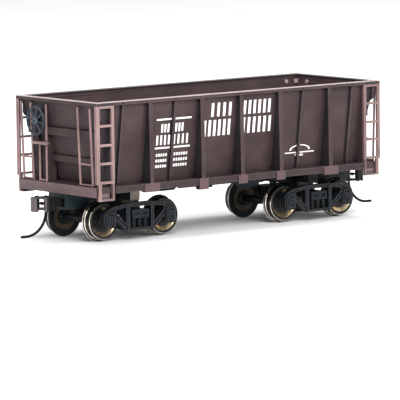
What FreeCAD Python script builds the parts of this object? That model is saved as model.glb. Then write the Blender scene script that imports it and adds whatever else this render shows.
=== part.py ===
import FreeCAD, Part
import math
import os

# Model hopper car, 1:87 scale on 16.5 mm gauge. Millimetres, +X along the car, +Z up.
# The origin is at mid length and mid width, at the height of the wheel flange bottoms.
# The end at -X carries the hand brake and is called B, the end at +X is called A.
# The side at -Y is called front and the side at +Y is called rear.

# ---------------------------------------------------------------- driving dimensions
HALF_LENGTH = 48.6
HALF_WIDTH = 17.95
RIM_TOP = 37.7
RIM_BOTTOM = 36.8
DECK_TOP = 15.4
DECK_BOTTOM = 14.2
SIDE_SILL_BOTTOM = 13.7
END_SILL_BOTTOM = 12.8
WALL = 1.1

# Sheet faces at the deck and at the rim: the hopper widens upwards on all four sides.
SHEET_X_LOW, SHEET_X_HIGH = 42.95, 47.8
SHEET_Y_LOW, SHEET_Y_HIGH = 13.75, 16.65

STAKE_X = (-30.7, -13.4, 0.0, 13.4, 30.7)
THIN_RIB_X = (-39.3, -21.9, 21.9, 39.3)
BEARER_X = (-13.4, 0.0, 13.4)
BOLSTER_X = 30.75

FRAME_WIRE_R = 0.3
FRAME_RUNG_R = 0.26
FOOT_BAR_Z = DECK_TOP + 0.35

LADDER_BACK_Y = 17.15
LADDER_INNER_X = 42.9
LADDER_RUNGS_Z = (36.5, 31.6, 26.5, 21.7, 16.7)
STIRRUP_BOTTOM = 11.85

AXLE_Z = 5.45
TREAD_R = 4.815
FLANGE_R = 5.45
WHEEL_BACK_Y = 7.2
WHEEL_WIDTH = 2.8
HALF_WHEELBASE = 10.0
AXLE_R = 1.0
HUB_R = 1.75
RUN_GAP = 0.08

SILL_BOTTOM = 10.3
SILL_HALF_WIDTH = 3.8
SILL_MID_BOTTOM = 12.0
SILL_MID_TOP = 13.0
SILL_MID_HALF_WIDTH = 3.4
SILL_STEP_X = 24.0

BOX_BACK_X = 40.3
BOX_BOTTOM = 8.6
BOX_FLOOR = 9.3
BOX_ROOF = 11.5
BOX_WALL = 0.8
COUPLER_PIVOT_X = 43.5
TRIP_PIN = (52.5, -0.2)
KNUCKLE_PIVOT = (53.7, 2.2)
TRIP_PIN_R = 0.36
RIVET_R = 0.3
KNUCKLE_HUB_R = 0.75
HEAD_Z = (8.5, 12.2)
EAR_Z = (8.55, 9.1, 11.5, 12.1)

BRAKE_Y = 7.8
BRAKE_Z = 31.6
BRAKE_WHEEL_R = 4.0

X_AXIS = FreeCAD.Vector(1, 0, 0)
Y_AXIS = FreeCAD.Vector(0, 1, 0)
Z_AXIS = FreeCAD.Vector(0, 0, 1)
ORIGIN = FreeCAD.Vector(0, 0, 0)


# ---------------------------------------------------------------- shape helpers
def box(x0, x1, y0, y1, z0, z1):
    return Part.makeBox(x1 - x0, y1 - y0, z1 - z0, FreeCAD.Vector(x0, y0, z0))


def bar_x(x, half_width, y0, y1, z0, z1):
    return box(x - half_width, x + half_width, y0, y1, z0, z1)


def rod(radius, start, end):
    start, end = FreeCAD.Vector(*start), FreeCAD.Vector(*end)
    direction = end - start
    return Part.makeCylinder(radius, direction.Length, start, direction)


def ball(radius, centre):
    return Part.makeSphere(radius, FreeCAD.Vector(*centre))


def bent_wire(corners, radius, bend):
    """Round wire through the corner points, each inner corner rounded with the bend radius."""
    corners = [FreeCAD.Vector(*point) for point in corners]
    edges, here = [], corners[0]
    for before, corner, after in zip(corners, corners[1:], corners[2:]):
        arrive, leave = (corner - before).normalize(), (after - corner).normalize()
        half_turn = arrive.getAngle(leave) / 2
        run_in = bend * math.tan(half_turn)
        inward = (leave - arrive).normalize()
        middle = corner + inward * (bend / math.cos(half_turn) - bend)
        arc_start, arc_end = corner - arrive * run_in, corner + leave * run_in
        edges.append(Part.LineSegment(here, arc_start).toShape())
        edges.append(Part.Arc(arc_start, middle, arc_end).toShape())
        here = arc_end
    edges.append(Part.LineSegment(here, corners[-1]).toShape())
    profile = Part.Wire([Part.makeCircle(radius, corners[0], corners[1] - corners[0])])
    return Part.Wire(edges).makePipeShell([profile], True, False)


def face_of(points):
    vectors = [FreeCAD.Vector(*point) for point in points]
    return Part.Face(Part.makePolygon(vectors + vectors[:1]))


def slab_xy(points, z0, z1):
    return face_of([(x, y, z0) for x, y in points]).extrude(FreeCAD.Vector(0, 0, z1 - z0))


def slab_xz(points, y0, y1):
    return face_of([(x, y0, z) for x, z in points]).extrude(FreeCAD.Vector(0, y1 - y0, 0))


def slab_yz(points, x0, x1):
    return face_of([(x0, y, z) for y, z in points]).extrude(FreeCAD.Vector(x1 - x0, 0, 0))


def frustum(x0, y0, z0, x1, y1, z1):
    """Solid between two centred rectangles, given by their half sizes."""
    rings = []
    for half_x, half_y, z in ((x0, y0, z0), (x1, y1, z1)):
        corners = [(-half_x, -half_y), (half_x, -half_y), (half_x, half_y), (-half_x, half_y)]
        points = [FreeCAD.Vector(x, y, z) for x, y in corners]
        rings.append(Part.makePolygon(points + points[:1]))
    return Part.makeLoft(rings, True, True)


def spun_about_y(profile):
    """Turns a closed (radius, y) outline about the Y axis."""
    points = [(radius, y, 0) for radius, y in profile]
    return face_of(points).revolve(ORIGIN, Y_AXIS, 360)


def joined(shapes):
    first, rest = shapes[0], list(shapes[1:])
    return first.multiFuse(rest).removeSplitter() if rest else first


def moved(shape, x=0.0, y=0.0, z=0.0):
    copy = shape.copy()
    copy.translate(FreeCAD.Vector(x, y, z))
    return copy


def rear_of(shape):
    """Mirror image on the other side of the car's long centre plane."""
    return shape.mirror(ORIGIN, Y_AXIS)


def far_end_of(shape):
    """Mirror image at the car's other end."""
    return shape.mirror(ORIGIN, X_AXIS)


def turned(shape):
    """The same piece on the other end of the car, half a turn about Z."""
    copy = shape.copy()
    copy.rotate(ORIGIN, Z_AXIS, 180)
    return copy


def four_ways(shape):
    pair = [shape, rear_of(shape)]
    return pair + [far_end_of(piece) for piece in pair]


# ---------------------------------------------------------------- hopper body
def share_up(z):
    return (z - DECK_TOP) / (RIM_BOTTOM - DECK_TOP)


def sheet_x(z):
    return SHEET_X_LOW + (SHEET_X_HIGH - SHEET_X_LOW) * share_up(z)


def sheet_y(z):
    return SHEET_Y_LOW + (SHEET_Y_HIGH - SHEET_Y_LOW) * share_up(z)


def sheet_frustum(inset):
    return frustum(
        SHEET_X_LOW - inset, SHEET_Y_LOW - inset, DECK_TOP,
        SHEET_X_HIGH - inset, SHEET_Y_HIGH - inset, RIM_BOTTOM)


def slope_sheet():
    """Sloping floor plate from the B end sheet down to the outlet."""
    foot_x, head_x, head_z = -13.0, -46.5, 33.0
    slope = (head_z - DECK_TOP) / (head_x - foot_x)
    drop = 1.25
    plate = slab_xz(
        [(foot_x, DECK_TOP), (head_x, head_z), (head_x, head_z - drop),
         (foot_x + drop / slope, DECK_TOP)],
        -HALF_WIDTH, HALF_WIDTH)
    return plate.common(sheet_frustum(WALL / 2))


def stake(x):
    """Tapered side stake: a thin web with a flange along its outer edge."""
    foot_y, head_y, buried = 18.2, HALF_WIDTH - 0.05, 0.5
    web = slab_yz(
        [(-sheet_y(DECK_TOP) + buried, DECK_TOP), (-foot_y, DECK_TOP),
         (-head_y, RIM_BOTTOM), (-sheet_y(RIM_BOTTOM) + buried, RIM_BOTTOM)],
        x - 0.35, x + 0.35)
    flange = slab_yz(
        [(-foot_y + 0.45, DECK_TOP), (-foot_y, DECK_TOP),
         (-head_y, RIM_BOTTOM), (-head_y + 0.45, RIM_BOTTOM)],
        x - 0.6, x + 0.6)
    return web.fuse(flange)


def thin_rib(x):
    buried, proud = 0.5, 0.7
    return slab_yz(
        [(-sheet_y(DECK_TOP) + buried, DECK_TOP), (-sheet_y(DECK_TOP) - proud, DECK_TOP),
         (-sheet_y(RIM_BOTTOM) - proud, RIM_BOTTOM), (-sheet_y(RIM_BOTTOM) + buried, RIM_BOTTOM)],
        x - 0.35, x + 0.35)


def end_rib(z0, z1, half_width):
    """Horizontal rib across the B end sheet."""
    proud = 1.0
    return box(-sheet_x(z1) - proud + 0.2, -sheet_x(z0) + 0.4, -half_width, half_width, z0, z1)


def end_webs():
    """Two upright webs on the B end sheet, behind the brake stand."""
    return [box(-46.4, -42.5, y - 0.3, y + 0.3, DECK_TOP, RIM_BOTTOM).cut(sheet_frustum(WALL / 2))
            for y in (8.8, 11.5)]


def corner_web():
    """Upright web that carries the inner post of the B front ladder."""
    web = box(-LADDER_INNER_X - 0.6, -LADDER_INNER_X, -LADDER_BACK_Y, -13.2, DECK_TOP, RIM_BOTTOM)
    return web.cut(sheet_frustum(WALL / 2))


def corner_cut():
    """Space at the B front corner that the side ladder stands in."""
    return box(-HALF_LENGTH - 1, -LADDER_INNER_X + 0.3, -HALF_WIDTH - 1, -LADDER_BACK_Y, 0, RIM_BOTTOM)


def corner_gusset():
    """Small upright plate under the rim at the B front corner, from the side sheet to the ladder."""
    outline = [(-LADDER_BACK_Y, RIM_BOTTOM), (-14.5, RIM_BOTTOM), (-14.5, 32.3), (-16.2, 32.3),
               (-LADDER_BACK_Y, 33.0)]
    return slab_yz(outline, -46.95, -46.5).cut(sheet_frustum(WALL / 2))


def inner_bosses():
    """Round bosses inside the B front corner, just under the rim: side, end and in the corner."""
    boss_z, radius, proud, root = 35.8, 0.55, 0.3, 0.35
    boss_x, boss_y = -42.8, -10.8
    side_y = -sheet_y(boss_z) + WALL
    end_x = -sheet_x(boss_z) + WALL
    return [
        rod(radius, (boss_x, side_y - root, boss_z), (boss_x, side_y + proud, boss_z)),
        rod(radius, (end_x - root, boss_y, boss_z), (end_x + proud, boss_y, boss_z)),
        rod(radius, (end_x - root, side_y - root, boss_z), (end_x + 0.5, side_y + 0.5, boss_z)),
    ]


def hopper_body():
    shell = sheet_frustum(0).cut(sheet_frustum(WALL))
    rim = box(-HALF_LENGTH, HALF_LENGTH, -HALF_WIDTH, HALF_WIDTH, RIM_BOTTOM, RIM_TOP)
    rim_x, rim_y = SHEET_X_HIGH - WALL, SHEET_Y_HIGH - WALL
    rim = rim.cut(box(-rim_x, rim_x, -rim_y, rim_y, RIM_BOTTOM - 1, RIM_TOP + 1))
    deck = box(-HALF_LENGTH, HALF_LENGTH, -HALF_WIDTH, HALF_WIDTH, DECK_BOTTOM, DECK_TOP)
    lip_y = 16.5
    side_lip = box(-HALF_LENGTH, HALF_LENGTH, -HALF_WIDTH, -lip_y, SIDE_SILL_BOTTOM, DECK_BOTTOM)
    end_lip = box(-HALF_LENGTH, -HALF_LENGTH + 1.2, -HALF_WIDTH, HALF_WIDTH,
                  END_SILL_BOTTOM, DECK_BOTTOM)
    step_plate = box(-47.7, -43.9, -17.0, -16.3, 11.85, SIDE_SILL_BOTTOM)
    parts = [rim, deck, side_lip, rear_of(side_lip), end_lip, far_end_of(end_lip)]
    parts += four_ways(step_plate)
    for x in STAKE_X:
        parts += [stake(x), rear_of(stake(x))]
    for x in THIN_RIB_X:
        parts += [thin_rib(x), rear_of(thin_rib(x))]
    # Ends of the bolsters and of the cross bearers, on the outer faces of the side sills.
    block_y = 18.3
    sill_blocks = [bar_x(x, 2.45, -block_y, -lip_y, 13.2, 15.5) for x in (-BOLSTER_X, BOLSTER_X)]
    sill_blocks += [bar_x(-13.4, 1.5, -block_y, -lip_y, 12.5, 15.5),
                    bar_x(0.0, 1.5, -block_y, -lip_y, 13.1, 15.5),
                    bar_x(13.1, 1.4, -block_y, -lip_y, 13.1, 15.5)]
    for block in sill_blocks:
        parts += [block, rear_of(block)]
    for x in BEARER_X:
        parts.append(bar_x(x, 0.7, -lip_y, lip_y, SILL_MID_TOP, DECK_BOTTOM))
    body_bolster = box(-BOLSTER_X - 1.55, -BOLSTER_X + 1.55, -10.5, -SILL_HALF_WIDTH,
                       SILL_BOTTOM, DECK_BOTTOM)
    parts += four_ways(body_bolster)
    for z0, z1, half_width in ((27.9, 29.9, 14.6), (20.8, 22.4, 13.8)):
        rib = end_rib(z0, z1, half_width)
        parts += [rib, far_end_of(rib)]
    parts.append(box(-47.0, -44.0, 6.3, 7.5, DECK_TOP, RIM_BOTTOM).cut(sheet_frustum(WALL / 2)))
    parts += end_webs() + [turned(web) for web in end_webs()]
    parts += four_ways(corner_web())
    parts += four_ways(corner_gusset())
    for boss in inner_bosses():
        parts += four_ways(boss)
    parts += [slope_sheet(), far_end_of(slope_sheet())]
    ridge = slab_xz([(-2.0, DECK_TOP), (2.0, DECK_TOP), (0.0, 19.4)], -HALF_WIDTH, HALF_WIDTH)
    parts.append(ridge.common(sheet_frustum(WALL / 2)))
    body = joined([shell] + parts)
    outlet = box(-11.6, -2.4, -8.5, 8.5, DECK_BOTTOM - 0.1, DECK_TOP + 0.1)
    weight_window = box(-28.4, -20.3, -9.2, 9.2, DECK_BOTTOM - 0.1, DECK_TOP + 0.1)
    for cut in [outlet, weight_window, far_end_of(outlet), far_end_of(weight_window)]:
        body = body.cut(cut)
    for cut in four_ways(corner_cut()):
        body = body.cut(cut)
    return body.removeSplitter()


# ---------------------------------------------------------------- ladders and end frames
def below_deck():
    return box(-60, -40, -30, 30, DECK_TOP - 2, DECK_TOP)


def side_ladder():
    """B front corner ladder, with a stirrup step hung below it a little further in."""
    outer, inner = (-HALF_LENGTH, -HALF_LENGTH + 0.95), (-LADDER_INNER_X - 0.8, -LADDER_INNER_X)
    step_outer, step_inner = (-48.0, -47.2), (-LADDER_INNER_X - 0.7, -LADDER_INNER_X - 0.1)
    rung_half = 0.3
    foot_z = LADDER_RUNGS_Z[-1] - rung_half
    parts = [box(x0, x1, -HALF_WIDTH, -LADDER_BACK_Y, foot_z, RIM_BOTTOM) for x0, x1 in (outer, inner)]
    parts += [box(x0, x1, -HALF_WIDTH, -LADDER_BACK_Y, STIRRUP_BOTTOM, foot_z + 0.5)
              for x0, x1 in (step_outer, step_inner)]
    parts.append(box(-HALF_LENGTH, -HALF_LENGTH + 0.4, -HALF_WIDTH, -16.8, DECK_TOP + 0.9, RIM_BOTTOM))
    for z in LADDER_RUNGS_Z:
        parts.append(box(outer[1], inner[0], -17.85, -17.3, z - rung_half, z + rung_half))
    parts.append(box(step_outer[1], step_inner[0], -HALF_WIDTH, -LADDER_BACK_Y,
                     STIRRUP_BOTTOM, STIRRUP_BOTTOM + 0.55))
    return joined(parts)


def hooked_post(foot_x, head_x, y):
    """Wire post from the deck to its hook under the rim at the B end."""
    head_z, sunk, hook = 36.1, 0.3, 1.2
    start_x = foot_x - (head_x - foot_x) * sunk / (head_z - DECK_TOP)
    return bent_wire(
        [(start_x, y, DECK_TOP - sunk), (head_x, y, head_z), (head_x + hook, y, head_z)],
        FRAME_WIRE_R, 0.45)


def end_frame(y0, y1, rung_z):
    """Bent wire frame on the B end: two posts hooked under the rim, a rung and a foot bar."""
    head_z, head_x, foot_x = 36.1, -48.2, -47.4
    parts = [hooked_post(foot_x, head_x, y) for y in (y0, y1)]
    for z in (rung_z, FOOT_BAR_Z):
        x = head_x + (foot_x - head_x) * (head_z - z) / (head_z - DECK_TOP)
        parts.append(rod(FRAME_RUNG_R, (x, y0, z), (x, y1, z)))
    return joined(parts).cut(sheet_frustum(0)).cut(below_deck())


# ---------------------------------------------------------------- hand brake
def brake_wheel():
    """Dished hand wheel with eight spokes, centred on its own axis at X = 0 and facing -X."""
    rim = Part.makeTorus(BRAKE_WHEEL_R - 0.35, 0.35, ORIGIN, X_AXIS)
    hub = rod(0.85, (-0.75, 0, 0), (0.35, 0, 0))
    parts = [rim, hub]
    for step in range(8):
        angle = math.radians(step * 45.0 + 10.0)
        end = (BRAKE_WHEEL_R - 0.35) * math.cos(angle), (BRAKE_WHEEL_R - 0.35) * math.sin(angle)
        parts.append(rod(0.22, (-0.3, 0, 0), (0, end[0], end[1])))
    wheel = joined(parts).cut(rod(0.4, (-0.5, 0, 0), (1, 0, 0)))
    return moved(wheel, -49.55, BRAKE_Y, BRAKE_Z)


def brake_shaft():
    return rod(0.4, (-50.05, BRAKE_Y, BRAKE_Z), (-47.35, BRAKE_Y, BRAKE_Z))


def brake_housing():
    """Gear housing on the end post, with the bearing of the brake shaft."""
    case = box(-48.3, -47.0, 6.4, 9.9, 29.9, 33.2)
    nose = rod(1.1, (-48.7, BRAKE_Y, BRAKE_Z), (-48.0, BRAKE_Y, BRAKE_Z))
    bore = rod(0.4 + RUN_GAP, (-49, BRAKE_Y, BRAKE_Z), (-47.3, BRAKE_Y, BRAKE_Z))
    ear = box(-48.0, -47.0, 7.6, 8.6, 33.2, 34.4)
    return joined([case, nose, ear]).cut(sheet_frustum(0)).cut(bore)


def brake_stand():
    """Two wire posts below and beside the brake wheel, joined by a foot bar on the deck."""
    x, long_y, short_y = -47.9, 5.3, 8.3
    parts = [
        hooked_post(x, x, long_y),
        rod(FRAME_WIRE_R, (x, short_y, DECK_TOP - 0.3), (x, short_y, 25.4)),
        rod(FRAME_RUNG_R, (x, long_y, FOOT_BAR_Z), (x, short_y, FOOT_BAR_Z)),
    ]
    return joined(parts).cut(sheet_frustum(0)).cut(below_deck())


def brake_step():
    """Narrow step plate under the brake wheel, on a bracket from the end post."""
    plate = box(-49.4, -48.3, 3.8, 9.8, 25.4, 26.0)
    bracket = box(-48.3, -47.0, 6.4, 7.4, 25.4, 26.0)
    support = box(-48.3, -47.6, 7.4, 8.7, 25.4, 26.0)
    return joined([plate, bracket, support])


# ---------------------------------------------------------------- underframe and what hangs on it
def coupler_post():
    return rod(1.0, (-COUPLER_PIVOT_X, 0, BOX_FLOOR), (-COUPLER_PIVOT_X, 0, BOX_ROOF))


def underframe():
    """Black centre sill with the bolster pads, the ballast floors and both coupler boxes."""
    sill = [box(-SILL_STEP_X, SILL_STEP_X, -SILL_MID_HALF_WIDTH, SILL_MID_HALF_WIDTH,
                SILL_MID_BOTTOM, SILL_MID_TOP)]
    half = []
    front_x = -HALF_LENGTH + 1.2
    half.append(box(front_x, -SILL_STEP_X, -SILL_HALF_WIDTH, SILL_HALF_WIDTH,
                    BOX_ROOF, DECK_BOTTOM))
    half.append(box(-BOX_BACK_X, -SILL_STEP_X, -SILL_HALF_WIDTH, SILL_HALF_WIDTH,
                    SILL_BOTTOM, BOX_ROOF))
    half.append(box(-HALF_LENGTH, -BOX_BACK_X, -SILL_HALF_WIDTH, SILL_HALF_WIDTH,
                    BOX_ROOF, END_SILL_BOTTOM))
    half.append(box(-BOX_BACK_X - BOX_WALL, -BOX_BACK_X, -SILL_HALF_WIDTH, SILL_HALF_WIDTH,
                    BOX_FLOOR, BOX_ROOF))
    for side in (-1, 1):
        y0, y1 = sorted((side * SILL_HALF_WIDTH, side * (SILL_HALF_WIDTH - BOX_WALL)))
        half.append(box(-HALF_LENGTH, -BOX_BACK_X, y0, y1, BOX_FLOOR, BOX_ROOF))
    half.append(coupler_post())
    half.append(box(-29.0, -16.0, -11.5, 11.5, 13.5, DECK_BOTTOM))
    body = joined(sill + half + [far_end_of(piece) for piece in half])
    bolster_gap = box(-BOLSTER_X - 1.55, -BOLSTER_X + 1.55, -12, -SILL_HALF_WIDTH, 10, DECK_BOTTOM)
    kingpin_hole = rod(1.2, (-BOLSTER_X, 0, SILL_BOTTOM - 1), (-BOLSTER_X, 0, 13.2))
    screw_hole = rod(0.5, (-COUPLER_PIVOT_X, 0, BOX_FLOOR - 1), (-COUPLER_PIVOT_X, 0, BOX_ROOF))
    for cut in four_ways(bolster_gap):
        body = body.cut(cut)
    for cut in (kingpin_hole, screw_hole):
        body = body.cut(cut).cut(far_end_of(cut))
    return body.removeSplitter()


def ballast():
    """Steel block that lies in the deck window under the B slope sheet."""
    return box(-28.3, -20.5, -9.0, 9.0, DECK_BOTTOM, 17.2)


def discharge_door():
    """B outlet door, glued under the deck, with two stiffening ribs outside the centre sill."""
    plate = box(-12.5, -0.9, -10.5, 10.5, 13.4, DECK_BOTTOM)
    ribs = [box(-11.0, -2.2, y0, y0 + 0.7, SILL_MID_TOP - 0.1, 13.4) for y0 in (-9.6, 8.9)]
    return joined([plate] + ribs)


def door_shaft():
    """Door shaft under the cross bearers, with three feet and two turning lugs."""
    y, z, radius = -8.6, 12.5, 0.42
    parts = [rod(radius, (-14.6, y, z), (14.6, y, z))]
    for x in BEARER_X:
        parts.append(bar_x(x, 0.6, y - 0.42, y + 0.42, z, SILL_MID_TOP))
    for x in (-4.2, 5.6):
        parts.append(bar_x(x, 0.9, y - 0.42, y + 0.42, 11.6, z))
    return joined(parts)


def brake_cylinder():
    y, z, radius = -5.3, 11.45, 1.4
    drum = rod(radius, (9.0, y, z), (14.8, y, z))
    flange = rod(radius + 0.12, (9.4, y, z), (9.9, y, z))
    push_rod = rod(0.35, (14.8, y, z), (17.0, y, z))
    bracket = box(10.8, 13.0, y, -SILL_MID_HALF_WIDTH, 12.1, 12.8)
    return joined([drum, flange, push_rod, bracket])


def air_reservoir():
    y, z, radius = 5.6, 11.4, 1.55
    drum = rod(radius, (-13.6, y, z), (-5.6, y, z))
    domes = [ball(radius, (x, y, z)).common(box(-14.6, -4.6, 0, 10, 0, 20))
             for x in (-13.3, -5.9)]
    brackets = [box(x, x + 0.8, SILL_MID_HALF_WIDTH, y, 12.1, 12.8) for x in (-12.0, -8.0)]
    return joined([drum] + domes + brackets)


def truck_screw():
    """Kingpin screw: it holds the truck to the centre sill."""
    x = -BOLSTER_X
    head = rod(2.1, (x, 0, 5.2), (x, 0, 6.2))
    slot = box(x - 2.5, x + 2.5, -0.3, 0.3, 5.0, 5.6)
    shank = rod(1.2, (x, 0, 6.2), (x, 0, 13.1))
    return head.cut(slot).fuse(shank).removeSplitter()


# ---------------------------------------------------------------- couplers (B end)
def on_b_end(points):
    """Coupler outlines are given as (distance along the car, side) with the knuckle side positive."""
    return [(-along, side) for along, side in points]


def coupler_box_lid():
    front_x = -HALF_LENGTH + 0.2
    lid = box(front_x, -BOX_BACK_X, -SILL_HALF_WIDTH, SILL_HALF_WIDTH, BOX_BOTTOM, BOX_FLOOR)
    return lid.cut(rod(0.5, (-COUPLER_PIVOT_X, 0, 8), (-COUPLER_PIVOT_X, 0, 10)))


def coupler_lid_screw():
    x = -COUPLER_PIVOT_X
    head = rod(1.0, (x, 0, BOX_BOTTOM - 0.45), (x, 0, BOX_BOTTOM))
    slot = box(x - 1.2, x + 1.2, -0.15, 0.15, BOX_BOTTOM - 0.6, BOX_BOTTOM - 0.2)
    return head.cut(slot).fuse(rod(0.5, (x, 0, BOX_BOTTOM), (x, 0, 11.4))).removeSplitter()


def coupler_head():
    """Shank with its pivot ring, core with the guard arm, and the two ears that hold the knuckle."""
    ring_z0, ring_z1 = BOX_FLOOR + 0.15, BOX_ROOF - 0.15
    ring = rod(1.9, (-COUPLER_PIVOT_X, 0, ring_z0), (-COUPLER_PIVOT_X, 0, ring_z1))
    shank = box(-50.4, -COUPLER_PIVOT_X, -1.1, 1.1, ring_z0, ring_z1)
    core = slab_xy(on_b_end([
        (49.9, -1.1), (50.8, -1.9), (52.2, -2.3), (53.4, -3.0), (54.1, -2.9), (54.3, -2.4),
        (53.6, -1.4), (53.25, -0.3), (52.6, 0.3), (51.9, 0.9), (51.2, 1.5), (50.3, 1.7),
        (49.9, 1.1)]), *HEAD_Z)
    ear = on_b_end([(50.3, 1.0), (53.0, 0.0), (53.1, 1.0), (54.0, 1.45), (54.5, 1.95),
                    (54.45, 2.6), (53.9, 3.05), (53.0, 2.95), (51.6, 2.5), (50.3, 1.7)])
    ears = [slab_xy(ear, *EAR_Z[:2]), slab_xy(ear, *EAR_Z[2:])]
    head = joined([ring, shank, core] + ears)
    pivot_bore = rod(1.0 + RUN_GAP, (-COUPLER_PIVOT_X, 0, 8), (-COUPLER_PIVOT_X, 0, 13))
    pin_bore = rod(TRIP_PIN_R, (-TRIP_PIN[0], TRIP_PIN[1], 8), (-TRIP_PIN[0], TRIP_PIN[1], 13))
    rivet_bore = rod(RIVET_R, (-KNUCKLE_PIVOT[0], KNUCKLE_PIVOT[1], 8),
                     (-KNUCKLE_PIVOT[0], KNUCKLE_PIVOT[1], 13))
    return head.cut(pivot_bore).cut(pin_bore).cut(rivet_bore).removeSplitter()


def knuckle():
    """Hook that turns on the rivet: a low arm between the ears and a full height nose."""
    low, high = EAR_Z[1] + 0.06, EAR_Z[2] - 0.06
    x, y = -KNUCKLE_PIVOT[0], KNUCKLE_PIVOT[1]
    hub = rod(KNUCKLE_HUB_R, (x, y, low), (x, y, high))
    arm = slab_xy(on_b_end([(53.5, 2.9), (53.6, 1.5), (54.2, 1.5), (55.2, 0.6), (55.6, 1.2),
                            (55.5, 2.2), (54.9, 2.8), (54.2, 2.95)]), low, high)
    nose = slab_xy(on_b_end([(55.35, -0.6), (55.75, -0.65), (56.05, -0.3), (56.15, 0.5),
                             (56.05, 1.5), (55.65, 2.3), (55.2, 2.8), (54.85, 2.85),
                             (54.75, 2.2), (54.8, 1.3), (55.1, 0.5)]), 8.35, 12.1)
    bore = rod(RIVET_R + 0.06, (x, y, 8), (x, y, 13))
    return joined([hub, arm, nose]).cut(bore).removeSplitter()


def knuckle_rivet():
    x, y = -KNUCKLE_PIVOT[0], KNUCKLE_PIVOT[1]
    low, high, proud = EAR_Z[0], EAR_Z[3], 0.25
    shank = rod(RIVET_R, (x, y, low), (x, y, high))
    heads = [rod(0.5, (x, y, low - proud), (x, y, low)), rod(0.5, (x, y, high), (x, y, high + proud))]
    return joined([shank] + heads)


def knuckle_spring():
    """Closing spring from the core to the knuckle hub, as a ribbed barrel of its coils."""
    turns, core_r, coil_r = 5, 0.34, 0.5
    foot = (52.25, 0.6)
    reach = math.hypot(KNUCKLE_PIVOT[0] - foot[0], KNUCKLE_PIVOT[1] - foot[1])
    low, high = 0.02, reach - KNUCKLE_HUB_R - 0.03
    pitch = (high - low) / turns
    profile = [(0, low)]
    for turn in range(turns):
        z = low + turn * pitch
        profile += [(core_r, z), (coil_r, z + pitch * 0.3), (coil_r, z + pitch * 0.7)]
    profile += [(core_r, high), (0, high)]
    barrel = face_of([(radius, 0, z) for radius, z in profile]).revolve(ORIGIN, Z_AXIS, 360)
    barrel.rotate(ORIGIN, Y_AXIS, -90)
    lean = math.atan2(KNUCKLE_PIVOT[1] - foot[1], KNUCKLE_PIVOT[0] - foot[0])
    barrel.rotate(ORIGIN, Z_AXIS, -math.degrees(lean))
    return moved(barrel, -foot[0], foot[1], (EAR_Z[1] + EAR_Z[2]) / 2)


def centring_spring():
    """Bronze leaf spring: its two arms stand beside the shank inside the coupler box."""
    thickness, z0, z1 = 0.15, 9.6, 11.2
    back_x, arm_x, back_y, arm_y = -41.3, -47.2, 2.75, 2.15
    arm = slab_xy([(back_x, -back_y), (arm_x, -arm_y), (arm_x, -arm_y - thickness),
                   (back_x, -back_y - thickness)], z0, z1)
    back = box(back_x, back_x + thickness, -back_y - thickness, back_y + thickness, z0, z1)
    return joined([arm, rear_of(arm), back])


def trip_pin():
    """Steel wire: straight down through the coupler head, then bent outwards over the track."""
    top_z, low_z, tip_x, bend = 12.55, 2.1, -60.6, 6.4
    x, y = -TRIP_PIN[0], TRIP_PIN[1]
    return bent_wire([(x, y, top_z), (x, y, low_z), (tip_x, y, low_z)], TRIP_PIN_R, bend)


# ---------------------------------------------------------------- trucks and wheelsets
def spring_coils(x, y, z0, z1):
    turns, core_r, coil_r = 4, 0.45, 0.68
    pitch = (z1 - z0) / turns
    profile = [(0, z0)]
    for turn in range(turns):
        z = z0 + turn * pitch
        profile += [(core_r, z), (coil_r, z + pitch * 0.3), (coil_r, z + pitch * 0.7)]
    profile += [(core_r, z1), (0, z1)]
    face = face_of([(radius, 0, z) for radius, z in profile])
    return moved(face.revolve(ORIGIN, Z_AXIS, 360), x, y)


def journal_box(x):
    """Box over the axle end, cut off at the corners, with a sloped lid and a hinge bar."""
    face_y, back_y = -13.2, -11.0
    outline = [(-1.5, 4.5), (-0.9, 3.8), (0.9, 3.8), (1.5, 4.5), (1.5, 7.4), (1.0, 8.0),
               (-1.0, 8.0), (-1.5, 7.4)]
    case = slab_xz([(x + across, z) for across, z in outline], face_y, back_y)
    lid = slab_yz([(face_y, 4.4), (face_y - 0.3, 4.4), (face_y - 0.5, 6.7), (face_y, 7.1)],
                  x - 1.1, x + 1.1)
    hinge = rod(0.3, (x - 0.8, face_y - 0.22, 7.1), (x + 0.8, face_y - 0.22, 7.1))
    return [case, lid, hinge]


def side_frame():
    """Front side frame of a truck at the origin: an open truss with a spring window."""
    back_y, face_y = -11.0, -12.6
    half_outline = [(4.2, 10.05), (9.3, 9.3), (11.4, 8.3), (11.9, 7.4), (11.9, 4.9), (11.3, 3.9),
                    (8.7, 3.9), (8.2, 4.5), (8.2, 6.0), (4.5, 2.75)]
    outline = half_outline + [(-x, z) for x, z in reversed(half_outline)]
    frame = slab_xz(outline, face_y, back_y)
    window = box(-3.5, 3.5, face_y - 1, back_y + 1, 3.4, 9.0)
    corner = slab_xz([(4.6, 4.6), (8.0, 7.6), (8.0, 8.5), (4.6, 9.05)], face_y - 1, back_y + 1)
    for cut in (window, corner, far_end_of(corner)):
        frame = frame.cut(cut)
    column_proud = 0.35
    parts = [frame]
    for side in (-1, 1):
        column = box(min(side * 3.5, side * 4.3), max(side * 3.5, side * 4.3),
                     face_y - column_proud, face_y, 3.2, 9.6)
        parts.append(column)
        parts += journal_box(side * HALF_WHEELBASE)
    parts.append(box(-4.3, 4.3, face_y - 0.5, back_y, 2.75, 3.4))
    bolster_end = box(-2.7, 2.7, face_y - 0.4, back_y, 5.9, 8.1)
    for x in (-1.3, 1.3):
        bolster_end = bolster_end.cut(box(x - 0.85, x + 0.85, face_y - 1, face_y, 6.5, 7.6))
    parts.append(bolster_end)
    for x in (-1.9, 0.0, 1.9):
        parts.append(spring_coils(x, -12.0, 3.4, 5.9))
    parts.append(box(-2.9, 2.9, -11.4, back_y, 3.3, 6.0))
    return joined(parts)


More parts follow.
